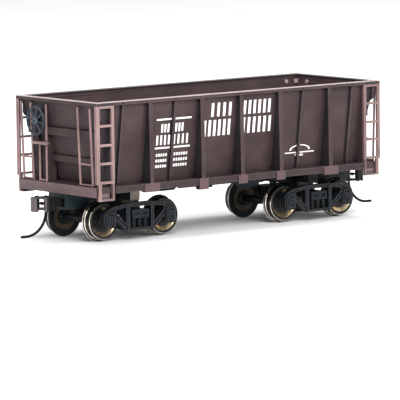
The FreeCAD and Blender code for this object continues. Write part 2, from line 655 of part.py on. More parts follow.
def truck_frame():
    """Whole truck moulding at the origin: two side frames and the bolster between them."""
    front = side_frame()
    bolster = box(-2.3, 2.3, -11.1, 11.1, 6.3, 8.1)
    plate = rod(3.0, (0, 0, 7.0), (0, 0, 10.15))
    frame = joined([front, rear_of(front), bolster, plate])
    frame = frame.cut(rod(1.2 + RUN_GAP, (0, 0, 6), (0, 0, 11)))
    for x in (-HALF_WHEELBASE, HALF_WHEELBASE):
        for side in (-1, 1):
            frame = frame.cut(moved(axle_cone(side, 0.1), x, 0, AXLE_Z))
    return frame.removeSplitter()


def axle_cone(side, slack):
    """Pointed axle end on the Y axis, or the bearing pocket around it when slack is given."""
    base_r, tip_r, base_y, tip_y = AXLE_R, 0.12, 11.0, 12.5
    shift = slack * side
    base = FreeCAD.Vector(0, side * (base_y - 0.2) + shift, 0)
    slope = (base_r - tip_r) / (tip_y - base_y)
    return Part.makeCone(base_r + 0.2 * slope, tip_r, tip_y - base_y + 0.2, base,
                         FreeCAD.Vector(0, side, 0))


def axle():
    shaft = rod(AXLE_R, (0, -11.0, 0), (0, 11.0, 0))
    tips = [Part.makeCone(AXLE_R, 0.12, 1.5, FreeCAD.Vector(0, side * 11.0, 0),
                          FreeCAD.Vector(0, side, 0)) for side in (-1, 1)]
    return joined([shaft] + tips)


def wheel():
    """Rear side wheel on the Y axis: flange at the back, coned tread, bevelled rim and dished web."""
    flange = [(4.95, 0.0), (5.22, 0.1), (5.39, 0.24), (FLANGE_R, 0.42), (5.39, 0.6), (5.2, 0.76),
              (5.0, 0.88), (4.9, 1.02)]
    tread = [(TREAD_R, 1.9), (4.79, 2.62), (4.66, WHEEL_WIDTH)]
    front = [(3.85, WHEEL_WIDTH), (2.95, 2.05), (2.3, 1.95), (HUB_R, 2.05)]
    back = [(HUB_R, 0.35), (2.4, 0.4), (3.6, 0.2), (3.75, 0.0)]
    return moved(spun_about_y(flange + tread + front + back), 0, WHEEL_BACK_Y, 0)


def wheel_bushes():
    """The two insulating hubs of one wheelset."""
    hub = spun_about_y([(AXLE_R, -0.25), (1.5, -0.25), (HUB_R, 0.0), (HUB_R, 2.75),
                        (1.6, 3.0), (AXLE_R, 3.0)])
    hub = moved(hub, 0, WHEEL_BACK_Y, 0)
    return Part.Compound([hub, rear_of(hub)])


# ---------------------------------------------------------------- all nodes
def nodes():
    yield "hopper_body", hopper_body()
    yield "underframe", underframe()
    ladder = side_ladder()
    yield "ladder_front_b", ladder
    yield "ladder_rear_b", rear_of(ladder)
    yield "ladder_front_a", far_end_of(ladder)
    yield "ladder_rear_a", far_end_of(rear_of(ladder))
    brake_side_frame = end_frame(11.85, 16.2, 21.5)
    plain_side_frame = end_frame(-14.35, -8.95, 21.2)
    yield "end_frame_front_b", plain_side_frame
    yield "end_frame_rear_b", brake_side_frame
    yield "end_frame_rear_a", turned(plain_side_frame)
    yield "end_frame_front_a", turned(brake_side_frame)
    yield "brake_wheel", brake_wheel()
    yield "brake_shaft", brake_shaft()
    yield "brake_housing", brake_housing()
    yield "brake_stand", brake_stand()
    yield "brake_step", brake_step()
    yield "door_shaft", door_shaft()
    yield "brake_cylinder", brake_cylinder()
    yield "air_reservoir", air_reservoir()
    b_end_pieces = {
        "discharge_door": discharge_door(), "steel_ballast": ballast(),
        "truck_screw": truck_screw(), "coupler_box_lid": coupler_box_lid(),
        "coupler_lid_screw": coupler_lid_screw(), "centring_spring": centring_spring(),
        "coupler_head": coupler_head(), "knuckle": knuckle(), "knuckle_rivet": knuckle_rivet(),
        "knuckle_spring": knuckle_spring(), "trip_pin": trip_pin(),
    }
    for name, shape in b_end_pieces.items():
        yield name + "_b", shape
        yield name + "_a", turned(shape)
    frame, rear_wheel = truck_frame(), wheel()
    for end, truck_x in (("b", -BOLSTER_X), ("a", BOLSTER_X)):
        yield "truck_frame_" + end, moved(frame, truck_x)
        for place in ("outer", "inner"):
            outward = -1 if end == "b" else 1
            step = outward * HALF_WHEELBASE * (1 if place == "outer" else -1)
            wheelset = end + "_" + place
            spot = {"x": truck_x + step, "z": AXLE_Z}
            yield "axle_" + wheelset, moved(axle(), **spot)
            yield "wheel_bushes_" + wheelset, moved(wheel_bushes(), **spot)
            yield "wheel_" + wheelset + "_front", moved(rear_of(rear_wheel), **spot)
            yield "wheel_" + wheelset + "_rear", moved(rear_wheel, **spot)


os.makedirs("parts", exist_ok=True)
for node_name, node_shape in nodes():
    node_shape.exportStep("parts/" + node_name + ".step")
    print(node_name, len(node_shape.Solids), round(node_shape.Volume, 2), node_shape.isValid())
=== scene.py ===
import math

import bmesh
import bpy
from mathutils import Matrix, Vector


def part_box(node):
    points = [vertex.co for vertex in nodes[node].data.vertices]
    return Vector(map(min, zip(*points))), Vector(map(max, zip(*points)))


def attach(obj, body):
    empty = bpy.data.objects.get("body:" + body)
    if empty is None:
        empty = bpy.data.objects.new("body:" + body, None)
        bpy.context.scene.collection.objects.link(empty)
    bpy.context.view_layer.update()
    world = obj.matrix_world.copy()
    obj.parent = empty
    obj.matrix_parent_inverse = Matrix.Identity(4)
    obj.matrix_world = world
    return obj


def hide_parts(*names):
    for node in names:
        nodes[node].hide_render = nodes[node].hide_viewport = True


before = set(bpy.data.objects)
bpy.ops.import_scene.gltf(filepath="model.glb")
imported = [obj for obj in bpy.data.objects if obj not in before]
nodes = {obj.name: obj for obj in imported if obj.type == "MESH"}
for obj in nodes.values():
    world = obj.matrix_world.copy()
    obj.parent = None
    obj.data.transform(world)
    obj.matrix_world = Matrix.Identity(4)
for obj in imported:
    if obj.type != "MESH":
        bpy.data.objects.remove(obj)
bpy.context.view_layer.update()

MM = 0.001


# ---------------------------------------------------------------- materials
class Shader:
    """One material and the few node patterns that its look is built from."""

    def __init__(self, name):
        self.material = bpy.data.materials.new(name)
        self.material.use_nodes = True
        self.tree = self.material.node_tree
        self.bsdf = self.tree.nodes["Principled BSDF"]
        self.place = self.add("ShaderNodeTexCoord").outputs["Object"]

    def add(self, kind, inputs=None, **settings):
        node = self.tree.nodes.new(kind)
        for key, value in settings.items():
            setattr(node, key, value)
        for key, value in (inputs or {}).items():
            self.put(node.inputs[key], value)
        return node

    def put(self, socket, value):
        if isinstance(value, bpy.types.NodeSocket):
            self.tree.links.new(value, socket)
        else:
            socket.default_value = value

    def noise(self, size_mm, detail=3.0, stretch=(1.0, 1.0, 1.0)):
        """Noise whose blotches are about size_mm across."""
        spread = self.add("ShaderNodeMapping", {"Vector": self.place, "Scale": stretch})
        return self.add("ShaderNodeTexNoise", {
            "Vector": spread.outputs[0], "Scale": 1.0 / (size_mm * MM), "Detail": detail,
        }).outputs["Fac"]

    def spread(self, value, low, high, to_low=0.0, to_high=1.0):
        return self.add("ShaderNodeMapRange", {
            "Value": value, "From Min": low, "From Max": high, "To Min": to_low, "To Max": to_high,
        }).outputs[0]

    def ramp_mm(self, value, none_at, full_at):
        """0 where a length is none_at millimetres, growing to 1 at full_at."""
        return self.spread(value, none_at * MM, full_at * MM)

    def maths(self, operation, first, second):
        return self.add("ShaderNodeMath", {0: first, 1: second}, operation=operation).outputs[0]

    def mix(self, share, first, second):
        node = self.add("ShaderNodeMix", data_type="RGBA")
        self.put(node.inputs[0], share)
        for index, value in ((6, first), (7, second)):
            if isinstance(value, tuple):
                value = (*value, 1.0)
            self.put(node.inputs[index], value)
        return node.outputs[2]

    def axes(self, kind):
        """X, Y and Z of the place ("Object") or of the surface direction ("Normal")."""
        source = self.add("ShaderNodeTexCoord").outputs[kind]
        return self.add("ShaderNodeSeparateXYZ", {"Vector": source}).outputs[:]

    def height(self):
        return self.axes("Object")[2]

    def size_of(self, value):
        return self.add("ShaderNodeMath", {0: value}, operation="ABSOLUTE").outputs[0]

    def sign_of(self, value):
        return self.add("ShaderNodeMath", {0: value}, operation="SIGN").outputs[0]

    def both(self, *shares):
        """Where every share applies."""
        total = shares[0]
        for share in shares[1:]:
            total = self.maths("MULTIPLY", total, share)
        return total

    def either(self, *shares):
        """Where any share applies."""
        total = shares[0]
        for share in shares[1:]:
            total = self.maths("MAXIMUM", total, share)
        return total

    def within(self, value, centre_mm, reach_mm):
        """1 where a length is within reach_mm of centre_mm."""
        gap = self.size_of(self.maths("SUBTRACT", value, centre_mm * MM))
        return self.ramp_mm(gap, reach_mm + 0.05, reach_mm - 0.05)

    def open_share(self, reach_mm):
        """1 on open surfaces, falling towards 0 in corners and narrow gaps."""
        return self.add("ShaderNodeAmbientOcclusion", {"Distance": reach_mm * MM},
                        samples=8).outputs["AO"]

    def edge_share(self, reach_mm):
        """1 close to an edge, 0 on the flat."""
        rounded = self.add("ShaderNodeBevel", {"Radius": reach_mm * MM}, samples=6).outputs[0]
        true = self.add("ShaderNodeNewGeometry").outputs["Normal"]
        likeness = self.add("ShaderNodeVectorMath", {0: rounded, 1: true},
                            operation="DOT_PRODUCT").outputs["Value"]
        return self.spread(likeness, 0.985, 0.80)

    def bump(self, height, depth_mm, strength=1.0):
        node = self.add("ShaderNodeBump", {
            "Height": height, "Distance": depth_mm * MM, "Strength": strength})
        self.put(self.bsdf.inputs["Normal"], node.outputs[0])


def trim_zones(s, colour):
    """Trim gets painted shade towards the A end, and is darker on the inner post and foot of each
    stirrup.
    """
    x, _, z = s.axes("Object")
    along = s.size_of(x)
    stirrup_post = s.both(s.ramp_mm(z, 16.35, 16.15), s.ramp_mm(along, 44.2, 43.8))
    foot = s.both(s.ramp_mm(z, 12.6, 12.45), s.ramp_mm(along, 47.3, 47.1))
    colour = s.mix(s.both(s.either(stirrup_post, foot), 0.75), colour, (0.110, 0.070, 0.073))
    # Painted shade: the trim darkens towards the A end.
    a_end_shade = s.spread(x, 30.0 * MM, 44.0 * MM, 0.0, 0.4)
    return s.mix(a_end_shade, colour, (0.085, 0.042, 0.045))


def moulded(name, dark, light, edge, gap, rough, edge_amount=0.6, gap_shade_amount=0.6,
            grain_mm=0.35, grain_depth=0.012, dust=None, dust_top_mm=17.0, gloss=0.3, zones=None,
            last_zones=None):
    """Painted or bare moulded plastic: blotches, fine grain, edges lighter from wear and painted
    highlight, painted shade in corners, dust.
    """
    s = Shader(name)
    colour = s.mix(s.spread(s.noise(7.0), 0.3, 0.7), dark, light)
    fleck = s.spread(s.noise(0.9, 5.0), 0.56, 0.74, 0.0, 0.35)
    colour = s.mix(fleck, colour, light)
    streaks = s.spread(s.noise(2.2, 4.0, (1.0, 1.0, 0.16)), 0.54, 0.76, 0.0, 0.32)
    colour = s.mix(streaks, colour, dark)
    clear = s.open_share(1.6)
    if dust is not None:
        low_down = s.both(s.ramp_mm(s.height(), dust_top_mm, dust_top_mm - 11.0), 0.5)
        patchy = s.maths("MULTIPLY", low_down, s.spread(s.noise(1.4, 5.0), 0.35, 0.7))
        colour = s.mix(patchy, colour, dust)
    # Painted shade: corners and narrow gaps, where little is open around a point, are darkened
    # towards the gap colour.
    corner = s.spread(clear, 0.80, 0.25, 0.0, gap_shade_amount)
    if zones is not None:
        colour = zones(s, colour)
    colour = s.mix(corner, colour, gap)
    # Edges are lightened towards the edge colour, partly as wear and partly as a painted highlight.
    edge_wear_and_highlight = s.maths("MULTIPLY", s.edge_share(0.28), s.spread(clear, 0.45, 0.75))
    broken = s.spread(s.noise(0.8, 5.0), 0.25, 0.6, 0.55, 1.0)
    edge_wear_and_highlight = s.maths("MULTIPLY", edge_wear_and_highlight, s.maths("MULTIPLY", broken, edge_amount))
    colour = s.mix(edge_wear_and_highlight, colour, edge)
    if last_zones is not None:
        colour = last_zones(s, colour)
    s.put(s.bsdf.inputs["Base Color"], colour)
    s.put(s.bsdf.inputs["Roughness"],
          s.spread(s.noise(1.8, 4.0), 0.3, 0.7, rough - 0.07, rough + 0.09))
    s.bsdf.inputs["Specular IOR Level"].default_value = gloss
    s.bump(s.noise(grain_mm, 3.0), grain_depth, 0.6)
    return s.material


SEAM_X = (-39.3, -21.9, 21.9, 39.3)
BOSS_Z, SIDE_BOSS_X, END_BOSS_Y, BOSS_R = 35.8, 42.8, 10.8, 0.55
# Body colours for fixed places: mostly painted shade (dark) and painted highlights (light); the
# step plate colour is its own.
SEAM_SHADOW, STAKE_WEB_SHADE, SHADE = (0.004, 0.004, 0.005), (0.010, 0.012, 0.014), (0.010, 0.010, 0.012)
LADDER_BAY_SHADE, UNDERSIDE_SHADE = (0.016, 0.021, 0.025), (0.004, 0.008, 0.010)
SILL_SHADE, PLATE_BROWN = (0.010, 0.007, 0.008), (0.200, 0.135, 0.140)
BOLSTER_HIGHLIGHT = (0.28, 0.235, 0.20)
SILL_END_HIGHLIGHT, SILL_BLOCK_HIGHLIGHT = (0.170, 0.112, 0.118), (0.120, 0.073, 0.080)
BOSS_HIGHLIGHT, RIM_HIGHLIGHT, RIM_INNER_SHADE = (0.36, 0.27, 0.265), (0.44, 0.36, 0.355), (0.008, 0.007, 0.008)


def body_zones(s, colour):
    """Painted shade, painted highlights and a few plain colours that the moulded body shows in
    fixed places.

    Each place is given in millimetres from the car's middle and from its wheel bottoms.
    """
    x, y, z = s.axes("Object")
    normal_x, normal_y = s.axes("Normal")[:2]
    along, across = s.size_of(x), s.size_of(y)
    side_sign = s.sign_of(y)
    sideways = s.maths("MULTIPLY", normal_y, side_sign)
    endways = s.maths("MULTIPLY", normal_x, s.sign_of(x))
    outward, endward = s.spread(sideways, 0.5, 0.7), s.spread(endways, 0.5, 0.7)
    facing_end = s.spread(s.size_of(normal_x), 0.72, 0.88)
    patchy = s.spread(s.noise(1.6, 4.0), 0.25, 0.75, 0.75, 1.0)
    sill_band, above_sill = s.ramp_mm(z, 15.6, 15.35), s.ramp_mm(z, 15.5, 15.9)
    # X as it runs from left to right for someone who stands beside the car.
    seen_x = s.maths("MULTIPLY", x, s.maths("MULTIPLY", side_sign, -1.0))

    # Painted shade: faces of the stake webs that look along the car are darkened, as the sides away
    # from the light.
    web_shade = s.both(facing_end, s.ramp_mm(along, 42.2, 41.8), patchy, 0.82)
    colour = s.mix(web_shade, colour, STAKE_WEB_SHADE)
    # Painted shadow: a dark line just beside each sheet seam, on the outward faces above the sill.
    for seam in SEAM_X:
        seam_line_shadow = s.both(s.within(seen_x, seam - 0.55, 0.22), outward, above_sill, patchy, 0.85)
        colour = s.mix(seam_line_shadow, colour, SEAM_SHADOW)
    # Painted shade: the bay behind each end ladder is darkened.
    ladder_bay_dark = s.both(s.within(along, 45.2, 2.0), s.ramp_mm(across, 13.0, 13.6), above_sill,
                        s.either(outward, endward), patchy, 0.6)
    colour = s.mix(ladder_bay_dark, colour, LADDER_BAY_SHADE)
    brake_bay = s.both(s.ramp_mm(x, -40.0, -41.0), s.within(y, 11.0, 4.7), above_sill, endward,
                       s.ramp_mm(z, 36.8, 36.6), patchy, 0.72)
    colour = s.mix(brake_bay, colour, SHADE)
    # Painted shade: the outward face of the side sill is darkened.
    sill_face_shade = s.both(sill_band, outward, s.ramp_mm(across, 17.2, 17.5), patchy, 0.42)
    colour = s.mix(sill_face_shade, colour, SILL_SHADE)
    step_plate = s.both(s.within(along, 45.8, 2.1), s.within(across, 16.7, 0.5),
                        s.ramp_mm(z, 13.75, 13.6), outward, patchy, 0.8)
    colour = s.mix(step_plate, colour, PLATE_BROWN)
    # Painted shade: the body's parts below the deck and inboard of the sills are made black.
    bolster = s.both(s.ramp_mm(z, 14.35, 14.15), s.ramp_mm(across, 15.8, 15.4))
    colour = s.mix(bolster, colour, UNDERSIDE_SHADE)
    # Painted highlight: the outward bolster face at the left-hand end, for someone beside the car,
    # is made lighter as a lit face.
    highlit_face = s.both(bolster, outward, s.ramp_mm(seen_x, -20.0, -22.0), patchy, 0.9)
    colour = s.mix(highlit_face, colour, BOLSTER_HIGHLIGHT)
    # Painted highlights: the end sills and the side sill blocks, which stand out furthest, are made
    # lighter as lit faces.
    lit_sill_ends = s.both(sill_band, s.ramp_mm(along, 48.42, 48.55), patchy, 0.75)
    colour = s.mix(lit_sill_ends, colour, SILL_END_HIGHLIGHT)
    lit_sill_blocks = s.both(sill_band, s.ramp_mm(across, 18.05, 18.2), patchy, 0.75)
    colour = s.mix(lit_sill_blocks, colour, SILL_BLOCK_HIGHLIGHT)

    def boss(value, centre_mm):
        run = s.maths("SUBTRACT", value, centre_mm * MM)
        rise = s.maths("SUBTRACT", z, BOSS_Z * MM)
        squares = s.maths("ADD", s.both(run, run), s.both(rise, rise))
        return s.ramp_mm(s.maths("SQRT", squares, 0.0), BOSS_R + 0.08, BOSS_R)

    # Painted highlights: light round spots for lit bosses on the inner side wall, the inner end
    # wall and the corner between them.
    side_boss = s.both(boss(along, SIDE_BOSS_X), s.ramp_mm(across, 15.9, 15.7))
    end_boss = s.both(boss(across, END_BOSS_Y), s.ramp_mm(along, 46.95, 46.75))
    corner_boss = s.both(s.within(along, 46.2, 0.62), s.within(across, 15.15, 0.62),
                         s.within(z, BOSS_Z, BOSS_R + 0.05))
    colour = s.mix(s.either(side_boss, end_boss, corner_boss), colour, BOSS_HIGHLIGHT)
    # Painted highlight: a pale top on the rim, strongest on the front side and the B end.
    highlit_rims = s.either(s.ramp_mm(y, -15.0, -15.6), s.ramp_mm(x, -46.0, -46.6))
    rim_top_highlight = s.both(s.spread(s.noise(1.1, 4.0), 0.30, 0.55, 0.5, 0.95),
                    s.spread(highlit_rims, 0.0, 1.0, 0.2, 1.0))
    colour = s.mix(s.both(s.ramp_mm(z, 37.58, 37.66), rim_top_highlight), colour, RIM_HIGHLIGHT)
    # Painted shade: the inward faces just below the rim top are darkened.
    inside_rim_shade = s.both(s.ramp_mm(z, 37.05, 37.2), s.ramp_mm(z, 37.66, 37.62),
                        s.spread(s.either(sideways, endways), 0.2, 0.0), 0.9)
    return s.mix(inside_rim_shade, colour, RIM_INNER_SHADE)


def metal(name, dark, light, rough, turned=False, metallic=1.0, grain_mm=0.25, grain_depth=0.006,
          stain=None, stain_amount=0.5, worn_and_lit_face=None, gloss=0.5, upper_half_shade=None):
    """Bare or blackened metal, with turning marks around the Y axis where it was turned."""
    s = Shader(name)
    colour = s.mix(s.spread(s.noise(1.3, 5.0), 0.3, 0.7), dark, light)
    if stain is not None:
        colour = s.mix(s.spread(s.noise(2.4, 5.0), 0.45, 0.7, 0.0, stain_amount), colour, stain)
    # Painted shade: the upper half of the surface is darkened towards this colour.
    if upper_half_shade is not None:
        upper_shade = s.both(s.ramp_mm(s.height(), -1.6, 0.8), s.spread(s.noise(1.0), 0.3, 0.6, 0.8, 1.0))
        colour = s.mix(upper_shade, colour, upper_half_shade)
    # Faces that look out along the car are lightened, partly as wear and partly as a painted
    # highlight.
    if worn_and_lit_face is not None:
        outward = s.maths("MULTIPLY", s.axes("Normal")[0], s.sign_of(s.axes("Object")[0]))
        highlit_face = s.both(s.spread(outward, 0.35, 0.62),
                         s.spread(s.noise(0.7, 5.0), 0.2, 0.55, 0.65, 1.0))
        colour = s.mix(highlit_face, colour, worn_and_lit_face)
    s.put(s.bsdf.inputs["Base Color"], colour)
    s.put(s.bsdf.inputs["Roughness"],
          s.spread(s.noise(0.8, 4.0), 0.3, 0.7, rough - 0.06, rough + 0.1))
    s.bsdf.inputs["Metallic"].default_value = metallic
    s.bsdf.inputs["Specular IOR Level"].default_value = gloss
    if turned:
        rings = s.add("ShaderNodeTexWave", {
            "Vector": s.place, "Scale": 900.0, "Distortion": 0.6, "Detail": 2.0,
        }, wave_type="RINGS", rings_direction="Y").outputs["Fac"]
        s.bump(rings, grain_depth, 0.5)
    else:
        s.bump(s.noise(grain_mm, 4.0), grain_depth, 0.6)
    return s.material


def printed(name, ink, below):
    """Pad-printed ink that lets a little of the body colour through."""
    s = Shader(name)
    thin = s.spread(s.noise(0.5, 5.0), 0.55, 0.78, 0.0, 0.55)
    s.put(s.bsdf.inputs["Base Color"], s.mix(thin, ink, below))
    s.put(s.bsdf.inputs["Roughness"], s.spread(s.noise(0.7), 0.3, 0.7, 0.42, 0.6))
    s.bump(s.noise(0.3), 0.006, 0.5)
    return s.material


body_paint = moulded(
    "body_paint", (0.035, 0.0215, 0.0228), (0.056, 0.036, 0.0375), (0.27, 0.18, 0.178),
    (0.006, 0.006, 0.007), 0.56, edge_amount=0.5, gap_shade_amount=0.85,
    dust=(0.070, 0.050, 0.048), dust_top_mm=18.0, gloss=0.2, zones=body_zones)
trim_paint = moulded(
    "trim_paint", (0.17, 0.105, 0.102), (0.27, 0.172, 0.165), (0.66, 0.49, 0.46),
    (0.018, 0.010, 0.010), 0.52, edge_amount=0.75, gap_shade_amount=0.7, grain_depth=0.008,
    last_zones=trim_zones)
truck_plastic = moulded(
    "truck_plastic", (0.0015, 0.0030, 0.0037), (0.0045, 0.0080, 0.0098), (0.135, 0.135, 0.155),
    (0.001, 0.002, 0.002), 0.55, edge_amount=0.8, gap_shade_amount=0.8, grain_mm=0.28,
    dust=(0.018, 0.018, 0.018), dust_top_mm=8.0, gloss=0.16)
frame_plastic = moulded(
    "frame_plastic", (0.003, 0.008, 0.010), (0.008, 0.018, 0.021), (0.035, 0.055, 0.060),
    (0.001, 0.002, 0.003), 0.58, edge_amount=0.5, gap_shade_amount=0.7, gloss=0.25)
hub_plastic = moulded(
    "hub_plastic", (0.005, 0.006, 0.008), (0.014, 0.015, 0.018), (0.22, 0.21, 0.19),
    (0.001, 0.001, 0.001), 0.38, edge_amount=0.7, gap_shade_amount=0.4, grain_depth=0.004)
axle_metal = metal("axle_metal", (0.003, 0.004, 0.005), (0.010, 0.012, 0.013), 0.5, metallic=0.1,
                   gloss=0.2)
polished_metal = metal("polished_metal", (0.78, 0.72, 0.62), (0.96, 0.92, 0.84), 0.2, turned=True)
tread_metal = metal("tread_metal", (0.020, 0.016, 0.013), (0.055, 0.045, 0.036), 0.3, turned=True)
bevel_metal = metal("bevel_metal", (0.66, 0.46, 0.25), (0.92, 0.72, 0.46), 0.3, grain_depth=0.001,
                    upper_half_shade=(0.020, 0.015, 0.011))
dark_wheel = metal("dark_wheel", (0.005, 0.005, 0.005), (0.014, 0.013, 0.013), 0.45, turned=True,
                   metallic=0.1, gloss=0.25)
back_wheel = metal("back_wheel", (0.005, 0.008, 0.009), (0.014, 0.019, 0.020), 0.45, turned=True,
                   metallic=0.1, stain=(0.006, 0.006, 0.006), gloss=0.2)
recess_metal = metal("recess_metal", (0.060, 0.044, 0.030), (0.15, 0.112, 0.078), 0.5,
                     metallic=0.1, stain=(0.012, 0.012, 0.012), stain_amount=0.6, gloss=0.25)
coupler_metal = metal("coupler_metal", (0.006, 0.006, 0.007), (0.018, 0.017, 0.018), 0.48,
                      metallic=0.2, grain_mm=0.2, grain_depth=0.012,
                      worn_and_lit_face=(0.118, 0.097, 0.104), gloss=0.2)
pin_metal = metal("pin_metal", (0.002, 0.002, 0.003), (0.006, 0.006, 0.007), 0.6, metallic=0.0,
                  gloss=0.12)
spring_bronze = metal("spring_bronze", (0.004, 0.0035, 0.003), (0.012, 0.009, 0.007), 0.5,
                      metallic=0.2, gloss=0.2)
brake_metal = moulded(
    "brake_metal", (0.008, 0.013, 0.019), (0.028, 0.042, 0.060), (0.30, 0.37, 0.44),
    (0.001, 0.002, 0.003), 0.45, edge_amount=0.7, gap_shade_amount=0.9, grain_depth=0.006, gloss=0.25)
shaded_trim = moulded(
    "shaded_trim", (0.012, 0.010, 0.012), (0.028, 0.022, 0.024), (0.16, 0.11, 0.11),
    (0.002, 0.002, 0.003), 0.55, edge_amount=0.4, gap_shade_amount=0.8, gloss=0.2)
bright_steel = metal("bright_steel", (0.40, 0.40, 0.41), (0.66, 0.66, 0.67), 0.28)
ballast_steel = metal("ballast_steel", (0.13, 0.13, 0.135), (0.25, 0.25, 0.26), 0.48,
                      stain=(0.12, 0.06, 0.03))
mark_ink = printed("mark_ink", (0.80, 0.78, 0.77), (0.16, 0.11, 0.11))


# ---------------------------------------------------------------- mesh helpers
def mesh_from(bm, name, materials, smooth=True):
    """Turns a bmesh into a mesh with outward faces, and frees the bmesh."""
    bmesh.ops.recalc_face_normals(bm, faces=bm.faces)
    mesh = bpy.data.meshes.new(name)
    bm.to_mesh(mesh)
    bm.free()
    for material in materials:
        mesh.materials.append(material)
    mesh.polygons.foreach_set("use_smooth", [smooth] * len(mesh.polygons))
    return mesh


def piece_from(bm, name, body, material, smooth=True):
    """Turns a bmesh in metres into a piece that rides on a body."""
    piece = bpy.data.objects.new(name, mesh_from(bm, name, [material], smooth))
    bpy.context.scene.collection.objects.link(piece)
    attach(piece, body)
    return piece


def soften(piece, width_mm, segments=2, angle_deg=32.0):
    """Small moulded radius on every sharp edge."""
    bevel = piece.modifiers.new("radius", "BEVEL")
    bevel.width = width_mm * MM
    bevel.segments = segments
    bevel.limit_method = "ANGLE"
    bevel.angle_limit = math.radians(angle_deg)
    bevel.use_clamp_overlap = False
    bevel.miter_outer = "MITER_ARC"
    normals = piece.modifiers.new("normals", "WEIGHTED_NORMAL")
    normals.keep_sharp = True
    normals.weight = 60


def refine(node_name, material, width_mm, segments=2):
    """Keeps a CAD node's shape and gives it moulded edges and its material."""
    node = nodes[node_name]
    for slot in node.material_slots:
        slot.link = "OBJECT"
        slot.material = material
    if not node.material_slots:
        node.data.materials.append(material)
    if width_mm:
        weld = node.modifiers.new("weld", "WELD")
        weld.merge_threshold = 0.0005 * MM
        soften(node, width_mm, segments)


def solid_from_outline(bm, outline, to_point, low, high):
    """Adds a closed prism: an outline of 2-D points, lifted from low to high by to_point."""
    bottom = [bm.verts.new(to_point(u, v, low)) for u, v in outline]
    top = [bm.verts.new(to_point(u, v, high)) for u, v in outline]
    bm.faces.new(bottom)
    bm.faces.new(top[::-1])
    for i in range(len(outline)):
        j = (i + 1) % len(outline)
        bm.faces.new((bottom[i], bottom[j], top[j], top[i]))


def spin(bm, profile, segments, axis_point):
    """Turns a closed profile of (radius, place along the axis, material of the next strip)."""
    count = len(profile)
    rings = []
    for radius, along, _ in profile:
        rings.append([bm.verts.new(axis_point(radius, 2 * math.pi * k / segments, along))
                      for k in range(segments)])
    for i in range(count):
        j = (i + 1) % count
        for k in range(segments):
            n = (k + 1) % segments
            face = bm.faces.new((rings[i][k], rings[i][n], rings[j][n], rings[j][k]))
            face.material_index = profile[i][2]


def about_y(radius, angle, along):
    return Vector((radius * math.cos(angle), along, radius * math.sin(angle))) * MM


def about_x(radius, angle, along):
    return Vector((along, radius * math.cos(angle), radius * math.sin(angle))) * MM


def rounded_profile(points, radius, steps=3):
    """Closed profile with every corner rounded by a small arc."""
    made = []
    count = len(points)
    for i in range(count):
        before, here, after = points[i - 1], points[i], points[(i + 1) % count]
        a, b, c = Vector(before[:2]), Vector(here[:2]), Vector(after[:2])
        arrive, leave = b - a, c - b
        turn = arrive.angle(leave)
        cut = min(radius * math.tan(turn / 2), 0.4 * arrive.length, 0.4 * leave.length)
        start, end = b - arrive.normalized() * cut, b + leave.normalized() * cut
        for step in range(steps + 1):
            t = step / steps
            curve = start * (1 - t) ** 2 + b * (2 * t * (1 - t)) + end * t ** 2
            made.append((curve.x, curve.y, here[2]))
    return made


# ---------------------------------------------------------------- CAD nodes that stay
EDGE = 0.07
refine("hopper_body", body_paint, EDGE)
for end in "ba":
    for side in ("front", "rear"):
        refine(f"ladder_{side}_{end}", trim_paint, 0.09)
        refine(f"end_frame_{side}_{end}", trim_paint, 0.0)
    refine(f"truck_frame_{end}", truck_plastic, 0.07)
    refine(f"discharge_door_{end}", frame_plastic, EDGE)
    refine(f"steel_ballast_{end}", ballast_steel, EDGE)
    refine(f"truck_screw_{end}", bright_steel, 0.05)
    refine(f"coupler_box_lid_{end}", frame_plastic, EDGE)
    refine(f"coupler_lid_screw_{end}", bright_steel, 0.04)
    refine(f"centring_spring_{end}", spring_bronze, 0.02)
    refine(f"coupler_head_{end}", coupler_metal, 0.06)
    refine(f"knuckle_{end}", coupler_metal, 0.08)
    refine(f"knuckle_rivet_{end}", pin_metal, 0.04)
    refine(f"trip_pin_{end}", pin_metal, 0.05)
    for place in ("outer", "inner"):
        refine(f"axle_{end}_{place}", axle_metal, 0.0)
        refine(f"wheel_bushes_{end}_{place}", hub_plastic, 0.05)
refine("underframe", frame_plastic, EDGE)
refine("brake_shaft", brake_metal, 0.05)
refine("brake_housing", shaded_trim, EDGE)
refine("brake_stand", trim_paint, 0.0)
refine("brake_step", trim_paint, EDGE)
refine("door_shaft", frame_plastic, 0.05)
refine("brake_cylinder", frame_plastic, 0.06)
refine("air_reservoir", frame_plastic, 0.06)


# ---------------------------------------------------------------- wheels
POLISHED, TREAD, BEVEL, DISH, BACK, RECESS = range(6)
WHEEL_CORNER_R, WHEEL_SEGMENTS = 0.06, 96
# (radius, distance from the wheel's back, finish of the strip up to the next point)
WHEEL_PROFILE = [
    (4.95, 0.0, BACK), (5.22, 0.1, BACK), (5.39, 0.24, BACK), (5.45, 0.42, POLISHED),
    (5.36, 0.64, TREAD), (5.2, 0.76, TREAD), (5.05, 0.84, POLISHED), (4.9, 1.02, TREAD),
    (4.815, 1.9, TREAD), (4.79, 2.6, POLISHED), (4.66, 2.8, DISH), (3.85, 2.8, BEVEL),
    (2.95, 2.05, DISH), (2.3, 1.95, DISH), (1.75, 2.05, DISH), (1.75, 0.35, BACK),
    (2.1, 0.4, RECESS), (3.6, 0.2, RECESS), (3.75, 0.0, BACK),
]


def wheel_mesh():
    """One wheel with its back at Y = 0 and its outer face towards +Y, shared by all eight."""
    bm = bmesh.new()
    spin(bm, rounded_profile(WHEEL_PROFILE, WHEEL_CORNER_R), WHEEL_SEGMENTS, about_y)
    return mesh_from(bm, "wheel", (
        polished_metal, tread_metal, bevel_metal, dark_wheel, back_wheel, recess_metal))


